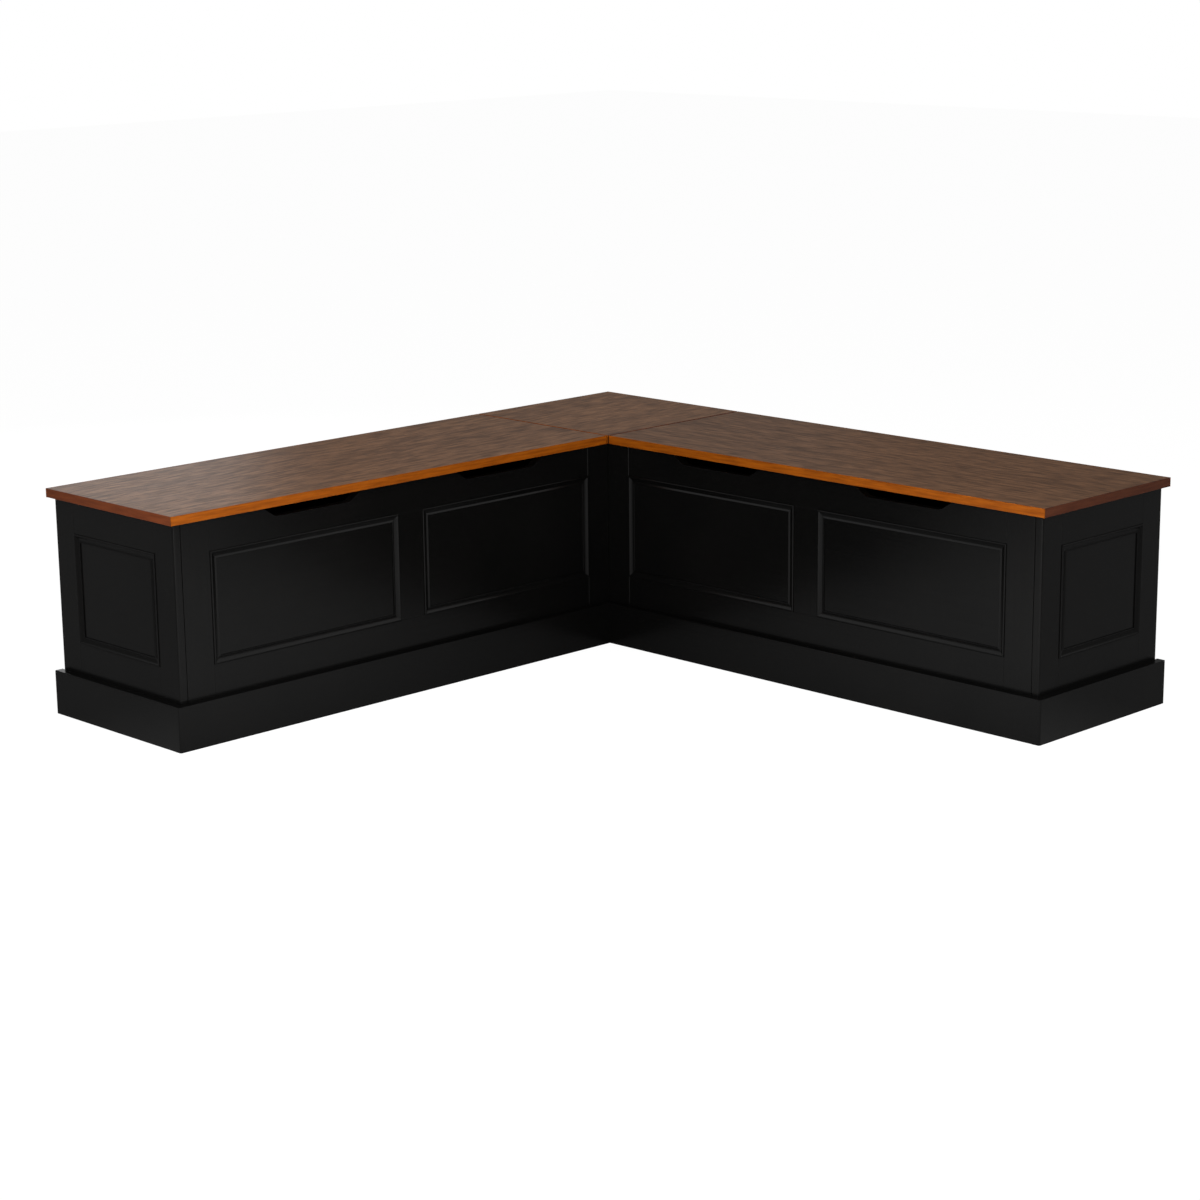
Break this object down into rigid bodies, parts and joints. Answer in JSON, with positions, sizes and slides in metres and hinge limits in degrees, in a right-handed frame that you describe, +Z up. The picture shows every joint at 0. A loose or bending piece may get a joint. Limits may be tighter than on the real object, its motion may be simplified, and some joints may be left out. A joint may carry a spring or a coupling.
{
  "type": "corner storage bench",
  "caption": "L-shaped corner bench with hinged walnut-look lids over storage boxes, a fixed square corner top, panelled satin-black sides and a plinth.",
  "frame": {"origin": "on the floor, in the middle of the square that the two wings span", "axes": "+Z up; the wall corner is at -X +Y; the right wing runs along +X with its front facing -Y, the left wing runs along -Y with its front facing +X"},
  "size_m": [1.556, 1.556, 0.457],
  "materials": {
    "black_paint": "satin black paint over smooth boards",
    "walnut_veneer": "walnut veneer, low-sheen lacquer",
    "walnut_edge": "solid wood edge, low-sheen lacquer",
    "softwood": "planed softwood, bare",
    "zinc_steel": "black zinc plating, satin"
  },
  "bodies": {
    "case": {"bottom_board_cleats": "softwood", "case_screws": "zinc_steel", "corner_top_board": "walnut_veneer", "corner_top_cleats": "softwood", "corner_top_lipping": "walnut_edge", "corner_top_screws": "zinc_steel", "hinge_case_leaves": "zinc_steel", "hinge_pins": "zinc_steel", "left_back_board": "black_paint", "left_bottom_board": "black_paint", "left_end_bottom_rail": "black_paint", "left_end_front_stile": "black_paint", "left_end_panel": "black_paint", "left_end_rear_stile": "black_paint", "left_end_top_rail": "black_paint", "left_front_bottom_rail": "black_paint", "left_front_inner_panel": "black_paint", "left_front_inner_stile": "black_paint", "left_front_muntin": "black_paint", "left_front_outer_panel": "black_paint", "left_front_outer_stile": "black_paint", "left_front_top_rail": "black_paint", "left_panel_mouldings": "black_paint", "left_partition": "black_paint", "left_plinth_end": "black_paint", "left_plinth_front": "black_paint", "right_back_board": "black_paint", "right_bottom_board": "black_paint", "right_end_bottom_rail": "black_paint", "right_end_front_stile": "black_paint", "right_end_panel": "black_paint", "right_end_rear_stile": "black_paint", "right_end_top_rail": "black_paint", "right_front_bottom_rail": "black_paint", "right_front_inner_panel": "black_paint", "right_front_inner_stile": "black_paint", "right_front_muntin": "black_paint", "right_front_outer_panel": "black_paint", "right_front_outer_stile": "black_paint", "right_front_top_rail": "black_paint", "right_panel_mouldings": "black_paint", "right_partition": "black_paint", "right_plinth_end": "black_paint", "right_plinth_front": "black_paint", "stay_case_plates": "zinc_steel"},
    "left_lid": {"left_hinge_lid_leaves": "zinc_steel", "left_lid_board": "walnut_veneer", "left_lid_lipping": "walnut_edge", "left_lid_screws": "zinc_steel", "left_stay_lid_brackets": "zinc_steel"},
    "left_stay_inner": {"left_stay_inner_arm": "zinc_steel"},
    "left_stay_outer": {"left_stay_outer_arm": "zinc_steel"},
    "right_lid": {"right_hinge_lid_leaves": "zinc_steel", "right_lid_board": "walnut_veneer", "right_lid_lipping": "walnut_edge", "right_lid_screws": "zinc_steel", "right_stay_lid_brackets": "zinc_steel"},
    "right_stay_inner": {"right_stay_inner_arm": "zinc_steel"},
    "right_stay_outer": {"right_stay_outer_arm": "zinc_steel"}
  },
  "joints": [
    {"name": "left_lid_hinge", "type": "hinge", "parent": "case", "child": "left_lid", "pos_m": [-0.7745, -0.205, 0.4374], "axis": [0, -1, 0], "range_deg": [0, 90]},
    {"name": "left_stay_inner_pivot", "type": "hinge", "parent": "left_lid", "child": "left_stay_inner", "pos_m": [-0.5948, 0.354, 0.427], "axis": [0, -1, 0], "range_deg": [-45, 0]},
    {"name": "left_stay_outer_pivot", "type": "hinge", "parent": "left_lid", "child": "left_stay_outer", "pos_m": [-0.5948, -0.736, 0.427], "axis": [0, -1, 0], "range_deg": [-45, 0]},
    {"name": "right_lid_hinge", "type": "hinge", "parent": "case", "child": "right_lid", "pos_m": [0.205, 0.7745, 0.4374], "axis": [-1, 0, 0], "range_deg": [0, 90]},
    {"name": "right_stay_inner_pivot", "type": "hinge", "parent": "right_lid", "child": "right_stay_inner", "pos_m": [-0.354, 0.5948, 0.427], "axis": [-1, 0, 0], "range_deg": [-45, 0]},
    {"name": "right_stay_outer_pivot", "type": "hinge", "parent": "right_lid", "child": "right_stay_outer", "pos_m": [0.736, 0.5948, 0.427], "axis": [-1, 0, 0], "range_deg": [-45, 0]}
  ],
  "couplings": [
    {"joint": "left_stay_inner_pivot", "follows": "left_lid_hinge", "ratio": -0.5},
    {"joint": "left_stay_outer_pivot", "follows": "left_lid_hinge", "ratio": -0.5},
    {"joint": "right_stay_inner_pivot", "follows": "right_lid_hinge", "ratio": -0.5},
    {"joint": "right_stay_outer_pivot", "follows": "right_lid_hinge", "ratio": -0.5}
  ]
}
